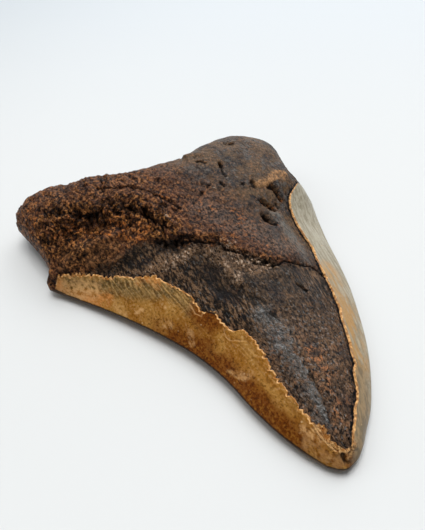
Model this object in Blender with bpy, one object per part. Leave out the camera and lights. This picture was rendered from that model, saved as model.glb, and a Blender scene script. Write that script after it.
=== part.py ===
"""A fossil megalodon tooth lying on a table with its bulging tongue side up.

The crown has lost the enamel of its middle: a dark patch of dentine lies a step lower between two
bands of enamel, and the breaks that bound it run down to the tip. Behind it is the rough root.
Lengths are in millimetres until MM turns them into metres. +X runs across the tooth, +Y from the
tip to the root, +Z up. The origin is on the table, under the middle of the tooth's box.
"""

import math

import bmesh
import bpy
import numpy as np
from mathutils import Vector, noise

MM = 0.001

# Outline seen from above: how far out each side lies at stations along Y, as (y, x)
TIP_Y = -60.0
BASE_Y = 50.0
LEFT_SIDE = [(-60.0, -2.9), (-56.0, -5.4), (-52.0, -7.4), (-47.0, -9.4), (-40.0, -11.5), (-31.0, -13.4),
             (-24.0, -15.6), (-17.0, -18.7), (-9.5, -23.0), (-2.0, -27.9), (6.0, -33.6), (14.0, -39.9),
             (19.5, -44.6), (21.5, -46.7), (24.0, -47.7), (26.0, -46.4), (28.0, -45.6), (33.0, -46.2),
             (41.0, -48.2), (50.0, -50.6)]
RIGHT_SIDE = [(-60.0, 6.4), (-54.5, 13.2), (-48.5, 18.4), (-40.5, 23.9), (-33.0, 28.0), (-25.0, 31.6),
              (-17.0, 34.9), (-8.0, 37.8), (4.0, 41.2), (14.0, 44.6), (22.0, 47.4), (26.5, 47.0),
              (32.0, 44.8), (39.0, 45.4), (50.0, 47.6)]
# The rounded tip and the wavy rear margin of the root, as (x, y) from the left side to the right
TIP_END = [(-2.9, -60.0), (-0.9, -61.7), (1.6, -62.7), (4.3, -61.9), (6.4, -60.0)]
BASE_END = [(-50.6, 50.0), (-49.6, 54.6), (-46.0, 58.2), (-41.0, 60.4), (-36.0, 60.0), (-32.2, 57.6),
            (-28.5, 58.4), (-23.0, 57.0), (-16.5, 54.2), (-8.0, 52.8), (0.0, 53.2), (8.0, 53.6),
            (12.0, 54.6), (15.5, 57.5), (22.0, 60.4), (30.0, 62.6), (37.0, 61.8), (43.2, 58.6),
            (46.6, 54.4), (47.6, 50.0)]
TIP_REACH = 14.0
BASE_REACH = 30.0
REACH_POWER = 2.5

# The outline's x is measured from the tooth's own axis, which lies this far from the middle of its box
AXIS_OFFSET = 1.5

# Heights above the table at stations along Y: the crest, the rim, and the wall under the rim
CREST = [(-62.0, 3.8), (-57.0, 6.0), (-46.0, 9.2), (-30.0, 12.2), (-12.0, 15.0), (8.0, 17.8),
         (24.0, 20.0), (38.0, 21.6), (60.0, 22.0)]
RIM = [(-62.0, 2.2), (-40.0, 3.3), (-10.0, 3.4), (10.0, 2.9), (20.0, 2.7), (25.0, 4.2), (30.0, 7.4),
       (36.0, 8.5), (60.0, 8.5)]
RIM_WALL = [(-62.0, 0.6), (10.0, 0.5), (22.0, 0.9), (32.0, 2.2), (60.0, 2.2)]
# Across the tooth the crown is a lens with thin edges and the root a slab with rounded sides
BULGE_POWER = [(-62.0, 2.0), (-10.0, 1.9), (14.0, 2.1), (30.0, 3.2), (60.0, 4.0)]
BULGE_ROUND = [(-62.0, 1.2), (-20.0, 1.0), (14.0, 1.05), (30.0, 1.8), (60.0, 2.1)]
TIP_ROUND_FROM = -53.0
BASE_ROUND_FROM = 37.0
END_POWER = 2.6
# The underside is flat over this share of the width and then lifts towards the sides
UNDERSIDE_FLAT = 0.4
UNDERSIDE_POWER = 2.8

# Where the enamel is broken off: the near break and the far break, as (y, x)
NEAR_BREAK = [(-59.0, 2.0), (-57.0, 0.5), (-55.0, 0.4), (-52.7, 0.3), (-51.1, -1.6), (-47.4, -2.2),
              (-41.7, -3.2), (-34.2, -3.7), (-30.7, -3.2), (-26.1, -3.6), (-23.3, -4.4), (-21.7, -4.9),
              (-20.6, -7.3), (-18.7, -8.0), (-15.7, -8.6), (-13.1, -8.9), (-11.1, -11.8), (-7.9, -12.2),
              (-5.4, -12.6), (-1.2, -14.7), (3.3, -17.8), (5.8, -18.6), (8.2, -22.7), (9.6, -25.1),
              (12.2, -28.2), (13.4, -30.3), (16.7, -34.6), (19.2, -38.1), (20.6, -41.2), (22.2, -43.9)]
FAR_BREAK = [(-59.0, 4.3), (-56.7, 6.1), (-55.1, 7.8), (-51.9, 10.2), (-50.1, 12.2), (-46.9, 14.3),
             (-43.5, 15.7), (-42.3, 17.3), (-39.0, 18.7), (-34.6, 20.6), (-30.6, 22.1), (-27.9, 22.8),
             (-25.8, 24.5), (-23.2, 24.9), (-18.0, 26.4), (-12.6, 27.8), (-6.6, 29.2), (-1.2, 31.5),
             (4.4, 31.8), (8.9, 32.1), (15.5, 33.2), (18.2, 34.4), (21.4, 36.7), (24.7, 40.8)]
BREAK_STEP = 0.8
BREAK_WALL = 0.25
BREAK_TIP_Y = -58.0
NEAR_BREAK_TOP_Y = 22.4
FAR_BREAK_TOP_Y = 24.0
# The patch climbs back to the surface of the root over this far from a break
ROOT_FADE = 9.0
BREAK_RUN_OUT = 4.0
DENTINE_EDGE = 2.0

# The ledge where the root ends and the bared dentine begins, and the hollow on the left lobe
LEDGE = [(-21.0, 20.0), (-12.6, 13.4), (-6.0, 9.5), (0.4, 4.7), (4.9, -1.3), (13.6, -7.2),
         (22.2, -8.4), (27.8, -11.9)]
LEDGE_STEP = 0.9
LEDGE_SLOPE = 2.2
LEDGE_REACH = 9.0
HOLLOW_WALL = [(-41.0, 36.5), (-32.5, 35.2), (-25.0, 33.6), (-18.0, 29.8), (-11.0, 22.0)]
HOLLOW_DEPTH = 2.4
HOLLOW_WALL_SLOPE = 5.0
HOLLOW_WIDTH = 15.0
# Pits in the right half of the root, and the shallow dip in the dentine: centre x and y, radius, depth
PITS = [(30.2, 22.2, 4.0, 1.2), (26.4, 17.0, 4.4, 1.2), (21.6, 10.5, 4.2, 1.4), (26.8, 49.0, 4.0, 1.0)]
DENTINE_DIP = (-5.0, -4.0, 9.0, 1.0)
LUMP_SIZE = 7.0
ROOT_LUMPS = 0.55
CROWN_LUMPS = 0.12

FOSSIL_BROWN = (0.10, 0.055, 0.028, 1.0)
FOSSIL_ROUGHNESS = 0.5

# The mesh grid: columns of the near band, the middle and the far band, and rows from tip to base
NEAR_COLUMNS = 13
MIDDLE_COLUMNS = 25
FAR_COLUMNS = 10
ROWS = 72
EDGE_CROWDING = 1.5
ROW_CROWDING = 0.3
# Behind the breaks the columns spread out until, at this station, they cross at these shares
ROOT_EVEN_Y = 42.0
ROOT_NEAR_SHARE = 0.24
ROOT_FAR_SHARE = 0.84
# The relief dies out this close to a side, as a share of the width
RELIEF_MARGIN = 0.05


def smooth_table(points, at):
    """The value at a station, on a smooth curve through (station, value) points."""
    stations = [p[0] for p in points]
    values = [p[1] for p in points]
    at = min(max(at, stations[0]), stations[-1])
    i = min(int(np.searchsorted(stations, at, side="right")) - 1, len(points) - 2)
    slopes = []
    for k in (i, i + 1):
        before, after = max(k - 1, 0), min(k + 1, len(points) - 1)
        slopes.append((values[after] - values[before]) / (stations[after] - stations[before]))
    step = stations[i + 1] - stations[i]
    t = (at - stations[i]) / step
    return ((2 * t**3 - 3 * t**2 + 1) * values[i] + (t**3 - 2 * t**2 + t) * step * slopes[0]
            + (3 * t**2 - 2 * t**3) * values[i + 1] + (t**3 - t**2) * step * slopes[1])


def straight_table(points, at):
    """The value at a station, on straight lines between (station, value) points."""
    return float(np.interp(at, [p[0] for p in points], [p[1] for p in points]))


def point_on_path(path, share):
    """The point at a share of the length of a smooth curve through points."""
    lengths = np.cumsum([0.0] + [math.dist(a, b) for a, b in zip(path, path[1:])])
    at = share * lengths[-1]
    return np.array([smooth_table([(s, p[k]) for s, p in zip(lengths, path)], at) for k in (0, 1)])


def nearest_on_path(path, x, y):
    """The share of a path's length nearest to (x, y), and how far (x, y) lies to its left."""
    best = (1e9, 0.0, 0.0)
    run = 0.0
    for (ax, ay), (bx, by) in zip(path, path[1:]):
        length = math.dist((ax, ay), (bx, by))
        ux, uy = (bx - ax) / length, (by - ay) / length
        t = min(max((x - ax) * ux + (y - ay) * uy, 0.0), length)
        off = math.dist((x, y), (ax + t * ux, ay + t * uy))
        side = 1.0 if ux * (y - ay) - uy * (x - ax) > 0 else -1.0
        if off < best[0]:
            best = (off, run + t, side * off)
        run += length
    return best[1] / run, best[2]


def smooth_step(low, high, value):
    """0 below low, 1 above high, smooth between."""
    t = min(max((value - low) / (high - low), 0.0), 1.0)
    return t * t * (3 - 2 * t)


def seen_from_above(s, y):
    """Where the point at share s across the row at station y lies."""
    left = smooth_table(LEFT_SIDE, y)
    right = smooth_table(RIGHT_SIDE, y)
    point = np.array([left + s * (right - left), y])
    for end, end_y, reach in ((TIP_END, TIP_Y, TIP_REACH), (BASE_END, BASE_Y, BASE_REACH)):
        weight = max(1 - abs(y - end_y) / reach, 0.0) ** REACH_POWER
        if weight > 0:
            start, stop = np.array(end[0]), np.array(end[-1])
            point = point + weight * (point_on_path(end, s) - (start + s * (stop - start)))
    return point


def share_on_break(line, y):
    """The share across at which the row at station y meets a break."""
    low, high = 0.0, 1.0
    for _ in range(24):
        middle = (low + high) / 2
        px, py = seen_from_above(middle, y)
        if px < straight_table(line, py):
            low = middle
        else:
            high = middle
    return (low + high) / 2


def end_fullness(y, power):
    """1 between the tooth's two rounded ends, falling to 0 at the tip and at the root's margin."""
    base = min(max((y - BASE_ROUND_FROM) / (BASE_Y - BASE_ROUND_FROM), 0.0), 1.0)
    tip = min(max((y - TIP_ROUND_FROM) / (TIP_Y - TIP_ROUND_FROM), 0.0), 1.0)
    return math.sqrt(1 - base**power) * math.sqrt(1 - tip**power)


def body_top(s, y):
    """The height of the whole tooth's upper face, before any loss."""
    rim = smooth_table(RIM, y)
    off_middle = abs(2 * s - 1)
    across = (1 - off_middle ** smooth_table(BULGE_POWER, y)) ** (1 / smooth_table(BULGE_ROUND, y))
    return rim + (smooth_table(CREST, y) - rim) * across * end_fullness(y, END_POWER)


def body_bottom(s, y):
    """The height of the flat underside, which lifts off the table towards the rim."""
    rim = smooth_table(RIM, y) - smooth_table(RIM_WALL, y)
    lift = max(abs(2 * s - 1) - UNDERSIDE_FLAT, 0.0) / (1 - UNDERSIDE_FLAT)
    across = math.sqrt(1 - lift**UNDERSIDE_POWER)
    return rim * (1 - across * end_fullness(y, UNDERSIDE_POWER))


def relief(x, y):
    """What growth and wear have added to or taken off the upper face at (x, y)."""
    along, off = nearest_on_path(LEDGE, x, y)
    ends = smooth_step(0.0, 0.12, along) * smooth_step(1.0, 0.94, along)
    near_ledge = smooth_step(LEDGE_REACH, LEDGE_SLOPE, abs(off))
    height = LEDGE_STEP * ends * near_ledge * (smooth_step(-LEDGE_SLOPE, LEDGE_SLOPE, off) - 0.5)
    lumps = CROWN_LUMPS + (ROOT_LUMPS - CROWN_LUMPS) * smooth_step(-2.0, 4.0, off)
    height += lumps * noise.noise(Vector((x, y, 0.0)) / LUMP_SIZE)
    along, off = nearest_on_path(HOLLOW_WALL, x, y)
    ends = smooth_step(0.0, 0.15, along) * smooth_step(1.0, 0.8, along)
    wall = smooth_step(0.0, HOLLOW_WALL_SLOPE, -off)
    height -= HOLLOW_DEPTH * ends * wall * smooth_step(HOLLOW_WIDTH, HOLLOW_WALL_SLOPE, -off)
    for px, py, radius, depth in PITS + [DENTINE_DIP]:
        height -= depth * smooth_step(1.0, 0.0, math.dist((x, y), (px, py)) / radius)
    return height


def row_shares(y):
    """The shares across at which the grid's columns cross the row at station y."""
    near = share_on_break(NEAR_BREAK, min(max(y, BREAK_TIP_Y), NEAR_BREAK_TOP_Y))
    far = share_on_break(FAR_BREAK, min(max(y, BREAK_TIP_Y), FAR_BREAK_TOP_Y))
    root = smooth_step(NEAR_BREAK_TOP_Y, ROOT_EVEN_Y, y)
    near += (ROOT_NEAR_SHARE - near) * root
    far += (ROOT_FAR_SHARE - far) * root
    width = smooth_table(RIGHT_SIDE, y) - smooth_table(LEFT_SIDE, y)
    wall = BREAK_WALL / width
    shares = [near * (i / NEAR_COLUMNS) ** EDGE_CROWDING for i in range(NEAR_COLUMNS + 1)]
    inner = (near + wall, far - wall)
    shares += [inner[0] + (inner[1] - inner[0]) * i / MIDDLE_COLUMNS for i in range(MIDDLE_COLUMNS + 1)]
    shares += [1 - (1 - far) * (1 - i / FAR_COLUMNS) ** EDGE_CROWDING for i in range(FAR_COLUMNS + 1)]
    return shares


def row_stations():
    """The stations of the grid's rows, closer together towards the tip and the root's margin."""
    stations = []
    for j in range(ROWS + 1):
        share = j / ROWS
        crowded = 0.5 - 0.5 * math.cos(math.pi * share)
        stations.append(TIP_Y + (BASE_Y - TIP_Y) * (share + ROW_CROWDING * (crowded - share)))
    above_tip = next(j for j, y in enumerate(stations) if y > BREAK_TIP_Y)
    stations[above_tip] = BREAK_TIP_Y + BREAK_WALL
    stations[above_tip - 1] = BREAK_TIP_Y
    return stations


def enamel_loss(i, x, y, station):
    """How far the surface lies below where the lost enamel's was, at column i of a row."""
    first = NEAR_COLUMNS + 1
    if not first <= i <= first + MIDDLE_COLUMNS or station <= BREAK_TIP_Y:
        return 0.0
    near = abs(x - straight_table(NEAR_BREAK, y)) if station < NEAR_BREAK_TOP_Y else ROOT_FADE
    far = abs(x - straight_table(FAR_BREAK, y))
    on_dentine = smooth_step(DENTINE_EDGE, -DENTINE_EDGE, nearest_on_path(LEDGE, x, y)[1])
    by_a_break = smooth_step(ROOT_FADE, 0.0, min(near, far))
    below_top = smooth_step(FAR_BREAK_TOP_Y, FAR_BREAK_TOP_Y - BREAK_RUN_OUT, station)
    return BREAK_STEP * max(on_dentine, by_a_break) * below_top


def tooth_mesh():
    """The closed mesh of the tooth: a fine upper face, a coarser underside and the rim between."""
    shape = bmesh.new()
    stations = row_stations()
    rows, columns = ROWS, len(row_shares(0.0)) - 1
    top, bottom = {}, {}
    for j, station in enumerate(stations):
        for i, s in enumerate(row_shares(station)):
            x, y = seen_from_above(s, station)
            z = body_top(s, station)
            if 0 < i < columns and 0 < j < rows:
                z += relief(x, y) * smooth_step(0.0, RELIEF_MARGIN, min(s, 1 - s))
                z -= enamel_loss(i, x, y, station)
            top[i, j] = shape.verts.new(((x + AXIS_OFFSET) * MM, y * MM, z * MM))
            if i % 2 == 0 and j % 2 == 0:
                low = body_bottom(s, station)
                bottom[i, j] = shape.verts.new(((x + AXIS_OFFSET) * MM, y * MM, low * MM))
    for j in range(rows):
        for i in range(columns):
            shape.faces.new((top[i, j], top[i + 1, j], top[i + 1, j + 1], top[i, j + 1]))
    for j in range(0, rows, 2):
        for i in range(0, columns, 2):
            shape.faces.new((bottom[i, j], bottom[i, j + 2], bottom[i + 2, j + 2], bottom[i + 2, j]))
    for j in range(0, rows, 2):
        for i in (0, columns):
            shape.faces.new((top[i, j], top[i, j + 1], top[i, j + 2], bottom[i, j + 2], bottom[i, j]))
    for i in range(0, columns, 2):
        for j in (0, rows):
            shape.faces.new((top[i, j], top[i + 1, j], top[i + 2, j], bottom[i + 2, j], bottom[i, j]))
    bmesh.ops.recalc_face_normals(shape, faces=shape.faces)
    for face in shape.faces:
        face.smooth = True
    far_foot = NEAR_COLUMNS + 1 + MIDDLE_COLUMNS
    for i in (NEAR_COLUMNS, NEAR_COLUMNS + 1, far_foot, far_foot + 1):
        for j, station in enumerate(stations[:-1]):
            if BREAK_TIP_Y <= station < NEAR_BREAK_TOP_Y:
                shape.edges.get((top[i, j], top[i, j + 1])).smooth = False
    mesh = bpy.data.meshes.new("tooth")
    shape.to_mesh(mesh)
    shape.free()
    return mesh


def fossil_material():
    """The brown of the fossil, as one plain colour."""
    material = bpy.data.materials.new("fossil tooth")
    material.use_nodes = True
    shader = material.node_tree.nodes["Principled BSDF"]
    shader.inputs["Base Color"].default_value = FOSSIL_BROWN
    shader.inputs["Roughness"].default_value = FOSSIL_ROUGHNESS
    shader.inputs["Metallic"].default_value = 0.0
    return material


def main():
    for thing in list(bpy.data.objects):
        bpy.data.objects.remove(thing)
    tooth = bpy.data.objects.new("tooth", tooth_mesh())
    tooth.data.materials.append(fossil_material())
    bpy.context.scene.collection.objects.link(tooth)


main()
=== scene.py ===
"""Looks of the fossil megalodon tooth: its skin of enamel, bared dentine and porous root."""

import logging
import math
import random
from dataclasses import dataclass, field
from enum import Enum
from typing import Any

import bpy
import numpy as np
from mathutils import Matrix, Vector, kdtree, noise


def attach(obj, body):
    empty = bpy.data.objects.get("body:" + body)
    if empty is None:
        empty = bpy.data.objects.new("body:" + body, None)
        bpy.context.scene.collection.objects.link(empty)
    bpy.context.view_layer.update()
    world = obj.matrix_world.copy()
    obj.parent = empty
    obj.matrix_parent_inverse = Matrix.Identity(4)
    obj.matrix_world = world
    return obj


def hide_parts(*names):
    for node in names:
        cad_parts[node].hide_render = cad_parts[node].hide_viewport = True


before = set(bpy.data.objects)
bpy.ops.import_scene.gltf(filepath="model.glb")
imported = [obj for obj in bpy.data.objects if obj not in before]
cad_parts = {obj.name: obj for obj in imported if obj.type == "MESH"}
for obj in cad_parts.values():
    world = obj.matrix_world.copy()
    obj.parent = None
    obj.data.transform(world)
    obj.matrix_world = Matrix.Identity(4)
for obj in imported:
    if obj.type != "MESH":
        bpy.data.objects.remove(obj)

LOG = logging.getLogger("tooth")
MM = 0.001
WAVE_STEP = 0.314  # A wave texture of this scale repeats at every unit.
Path = tuple[tuple[float, float], ...]
Colour = tuple[float, float, float]
Spot = tuple[float, float, float]
Array = np.ndarray
Socket = bpy.types.NodeSocket


def srgb(red: float, green: float, blue: float) -> Colour:
    """Turns a colour of 0 to 255 screen values into the linear values that shaders take."""
    values = [v / 255 for v in (red, green, blue)]
    return tuple(v / 12.92 if v <= 0.04045 else ((v + 0.055) / 1.055) ** 2.4 for v in values)


def ramp(low: float, high: float, value: Array) -> Array:
    """Rises smoothly from 0 where value is low to 1 where it is high; low may be the larger."""
    t = np.clip((value - low) / (high - low), 0.0, 1.0)
    return t * t * (3 - 2 * t)


def table(points: Path, at: Array) -> Array:
    """Reads the values at some stations from (station, value) points, on straight lines."""
    return np.interp(at, [p[0] for p in points], [p[1] for p in points])


def off_path(path: Path, x: Array, y: Array) -> Array:
    """Measures every point's distance to a path of straight pieces.

    Args:
        path: The corners of the path as (x, y); one corner is a spot.
        x: The points' x.
        y: The points' y.

    Returns:
        The distances, positive on the path's left.
    """
    if len(path) == 1:
        return np.hypot(x - path[0][0], y - path[0][1])
    best = np.full(x.shape, 1e9)
    side = np.ones(x.shape)
    for (ax, ay), (bx, by) in zip(path, path[1:]):
        length = math.dist((ax, ay), (bx, by))
        ux, uy = (bx - ax) / length, (by - ay) / length
        t = np.clip((x - ax) * ux + (y - ay) * uy, 0.0, length)
        off = np.hypot(x - ax - t * ux, y - ay - t * uy)
        closer = off < best
        best = np.where(closer, off, best)
        side = np.where(closer, np.where(ux * (y - ay) - uy * (x - ax) < 0.0, -1.0, 1.0), side)
    return best * side


def within(outline: Path, x: Array, y: Array) -> Array:
    """Tests which points lie inside a closed outline.

    Args:
        outline: The corners as (x, y).
        x: The points' x.
        y: The points' y.

    Returns:
        True for each point inside.
    """
    inside = np.zeros(x.shape, bool)
    for (ax, ay), (bx, by) in zip(outline, outline[1:] + outline[:1]):
        crosses = (ay > y) != (by > y)
        if ay != by:
            inside ^= crosses & (x < (bx - ax) * (y - ay) / (by - ay) + ax)
    return inside


def clouds(x: Array, y: Array, z: Array, size: tuple[float, float], octaves: int = 3) -> Array:
    """Cloudy noise of about -1 to 1, with its largest lumps of a size across and along the tooth."""
    points = np.stack([x / size[0], y / size[1], z / size[0]], 1)
    return np.array([noise.fractal(Vector(p), 0.6, 2.0, octaves) for p in points.tolist()])


class Zone(Enum):
    """The painted point attributes that the skin's material reads."""

    BREAK = "off_break"
    ROOT = "off_ledge"
    RIM = "off_rim"
    FAR = "far_side"
    UNDER = "under_side"
    PORE = "pore"
    RUST = "rust"
    PALE = "pale"
    DARK = "dark"
    # Slate-grey and olive patches, and on the bared dentine a painted sheen.
    SLATE_AND_SHEEN = "slate_and_sheen"
    TAN = "tan"
    SMOOTH = "smooth"
    POROUS = "porous"
    LINE = "line"
    CHIP = "chip"


@dataclass(frozen=True)
class Mark:
    """A crack, pit, ridge or stain that follows a path on the upper face."""

    path: Path
    width: float
    depth: float = 0.0
    paint: Zone | None = None
    strength: float = 1.0
    ragged: float = 0.0
    soft: float = 0.6
    side: int = 0

    def share(self, x: Array, y: Array) -> Array:
        """How fully the mark covers each point; a one-sided mark ends sharply at its path.

        Args:
            x: The points' x.
            y: The points' y.

        Returns:
            0 outside the mark to 1 in it.
        """
        off = off_path(self.path, x, y)
        share = ramp(self.width, self.width * (1 - self.soft), np.abs(off))
        return share * ramp(-0.3, 0.15, off * self.side) if self.side else share

    def is_fine(self) -> bool:
        """Whether the mark is so thin that it needs fine faces."""
        return self.width < 1.25 and (self.depth > 0.0 or self.paint is Zone.LINE)


@dataclass(frozen=True)
class PoreField:
    """A band of the bone that is riddled with pores, all drawn out along the tooth."""

    spine: Path
    reach: float
    count: int
    length: float
    width: float
    depth: float
    strength: float
    seed: int

    def marks(self) -> list[Mark]:
        """Scatters the pores.

        Returns:
            One mark for each pore.
        """
        chance = random.Random(self.seed)
        lengths = [math.dist(a, b) for a, b in zip(self.spine, self.spine[1:])]
        made = []
        for _ in range(self.count):
            (ax, ay), (bx, by) = chance.choices(list(zip(self.spine, self.spine[1:])), lengths)[0]
            t, big = chance.random(), chance.uniform(0.5, 1.25)
            x = ax + (bx - ax) * t + chance.gauss(0.0, self.reach * 0.5)
            y = ay + (by - ay) * t + chance.gauss(0.0, self.reach * 0.5)
            half = self.length * big * 0.5
            lean = half * chance.uniform(-0.35, 0.35)
            path = ((x - lean, y - half), (x + lean, y + half))
            made.append(Mark(path, self.width * big, self.depth * big, Zone.PORE, self.strength, 0.15, 0.7))
        return made


class Value:
    """A socket whose arithmetic adds Math nodes."""

    def __init__(self, graph: "Graph", socket: Socket) -> None:
        """Keeps the socket and the graph it is in."""
        self.graph = graph
        self.socket = socket

    def _math(self, kind: str, *values: Any) -> "Value":
        """Adds one Math node over the given values."""
        node = self.graph.make("ShaderNodeMath", {"operation": kind}, dict(enumerate(values)))
        return Value(self.graph, node.outputs[0])

    def __add__(self, other: Any) -> "Value":
        """This plus other."""
        return self._math("ADD", self, other)

    __radd__ = __add__

    def __mul__(self, other: Any) -> "Value":
        """This times other."""
        return self._math("MULTIPLY", self, other)

    __rmul__ = __mul__

    def __sub__(self, other: Any) -> "Value":
        """This less other."""
        return self._math("SUBTRACT", self, other)

    def __rsub__(self, other: Any) -> "Value":
        """Other less this."""
        return self._math("SUBTRACT", other, self)

    def least(self, other: Any) -> "Value":
        """The smaller of this and other."""
        return self._math("MINIMUM", self, other)

    def most(self, other: Any) -> "Value":
        """The larger of this and other."""
        return self._math("MAXIMUM", self, other)

    def between(self, low: float, high: float, start: float = 0.0, end: float = 1.0) -> "Value":
        """Maps a span of this smoothly to another span, clamped.

        Args:
            low: Where the result is start.
            high: Where the result is end; it may be less than low.
            start: The result at low.
            end: The result at high.

        Returns:
            The mapped value.
        """
        node = self.graph.make(
            "ShaderNodeMapRange",
            {"interpolation_type": "SMOOTHSTEP", "clamp": True},
            {"Value": self, "From Min": low, "From Max": high, "To Min": start, "To Max": end},
        )
        return Value(self.graph, node.outputs["Result"])


class Graph:
    """The node tree of one material."""

    def __init__(self, tree: bpy.types.NodeTree) -> None:
        """Starts on a tree and makes its Object coordinates available in millimetres.

        Args:
            tree: The material's or world's node tree.
        """
        self.tree = tree
        self.zones: dict[Zone, Value] = {}
        place = self.make("ShaderNodeTexCoord", {}, {}).outputs["Object"]
        self.place = self.scaled(place, (1000.0, 1000.0, 1000.0))

    def make(self, kind: str, settings: dict[str, Any], sockets: dict[Any, Any]) -> bpy.types.Node:
        """Adds one node.

        Args:
            kind: The node's type name.
            settings: Its settings, set first.
            sockets: Values or links of its input sockets, by name or number.

        Returns:
            The node.
        """
        node = self.tree.nodes.new(kind)
        for name, value in settings.items():
            setattr(node, name, value)
        for name, value in sockets.items():
            value = value.socket if isinstance(value, Value) else value
            if isinstance(value, Socket):
                self.tree.links.new(value, node.inputs[name])
            elif isinstance(value, tuple) and node.inputs[name].type == "RGBA":
                node.inputs[name].default_value = (*value, 1.0)
            else:
                node.inputs[name].default_value = value
        return node

    def zone(self, zone: Zone) -> Value:
        """Reads one painted attribute, through one node for each.

        Args:
            zone: The attribute.

        Returns:
            Its value.
        """
        if zone not in self.zones:
            node = self.make("ShaderNodeAttribute", {"attribute_name": zone.value}, {})
            self.zones[zone] = Value(self, node.outputs["Fac"])
        return self.zones[zone]

    def scaled(self, vector: Socket, scale: tuple[float, float, float]) -> Socket:
        """A vector scaled along each axis."""
        return self.make("ShaderNodeVectorMath", {"operation": "MULTIPLY"}, {0: vector, 1: scale}).outputs[0]

    def grain(self, along: float, turn: float = 0.0) -> Socket:
        """Coordinates in millimetres for a grain drawn out along the tooth.

        Args:
            along: How many times longer than wide the grain is.
            turn: The grain's turn from the tooth's axis, in degrees.

        Returns:
            The coordinates.
        """
        place = self.place
        if turn:
            sockets = {"Vector": self.place, "Rotation": (0.0, 0.0, math.radians(turn))}
            place = self.make("ShaderNodeMapping", {}, sockets).outputs[0]
        return self.scaled(place, (1.0, 1.0 / along, 1.0))

    def clouds(
        self, vector: Any, size: float, detail: float = 3.0, rough: float = 0.55, bend: float = 0.0
    ) -> Value:
        """Noise of about 0 to 1.

        Args:
            vector: The coordinates.
            size: The size of its lumps in millimetres.
            detail: How many finer layers are added.
            rough: How strong the finer layers are.
            bend: How much the noise is twisted.

        Returns:
            The noise.
        """
        node = self.make(
            "ShaderNodeTexNoise",
            {"noise_dimensions": "3D"},
            {"Vector": vector, "Scale": 1.0 / size, "Detail": detail, "Roughness": rough, "Distortion": bend},
        )
        return Value(self, node.outputs[0])

    def dot(self, vector: Any, way: Spot) -> Value:
        """How far a vector reaches along a way."""
        node = self.make("ShaderNodeVectorMath", {"operation": "DOT_PRODUCT"}, {0: vector, 1: way})
        return Value(self, node.outputs["Value"])

    def part(self, vector: Any, number: int) -> Value:
        """One of the three parts of a vector: 0 is x, 1 is y and 2 is z."""
        return Value(self, self.make("ShaderNodeSeparateXYZ", {}, {0: vector}).outputs[number])

    def cells(self, vector: Any, size: float) -> Value:
        """The distance to the nearest of scattered points, as a share of their spacing in millimetres."""
        node = self.make("ShaderNodeTexVoronoi", {"feature": "F1"}, {"Vector": vector, "Scale": 1.0 / size})
        return Value(self, node.outputs["Distance"])

    def bands(self, vector: Any, size: float, bend: float) -> Value:
        """Stripes of 0 to 1 along the grain.

        Args:
            vector: The coordinates.
            size: How far apart the stripes are, in millimetres.
            bend: How much they are twisted.

        Returns:
            The stripes.
        """
        settings = {"wave_type": "BANDS", "bands_direction": "X", "wave_profile": "SIN"}
        scale = WAVE_STEP / size
        sockets = {"Vector": vector, "Scale": scale, "Distortion": bend, "Detail": 2.0, "Detail Scale": 2.0}
        return Value(self, self.make("ShaderNodeTexWave", settings, sockets).outputs["Fac"])

    def blend(self, share: Any, first: Any, second: Any) -> Socket:
        """Passes from the first colour to the second by a share."""
        settings = {"data_type": "RGBA", "blend_type": "MIX", "clamp_factor": True}
        return self.make("ShaderNodeMix", settings, {0: share, 6: first, 7: second}).outputs[2]

    def layered(self, colour: Any, *layers: tuple[Any, Any]) -> Socket:
        """Lays colours one over the other.

        Args:
            colour: The first colour.
            layers: The others from the bottom up, each with the share it covers: (share, colour).

        Returns:
            The colour on top.
        """
        for share, over in layers:
            colour = self.blend(share, colour, over)
        return colour


@dataclass(frozen=True)
class Coat:
    """What one finish hands to the skin: its colour, roughness, relief and varnish."""

    colour: Any
    roughness: Any
    relief: Any
    varnish: Any


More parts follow.
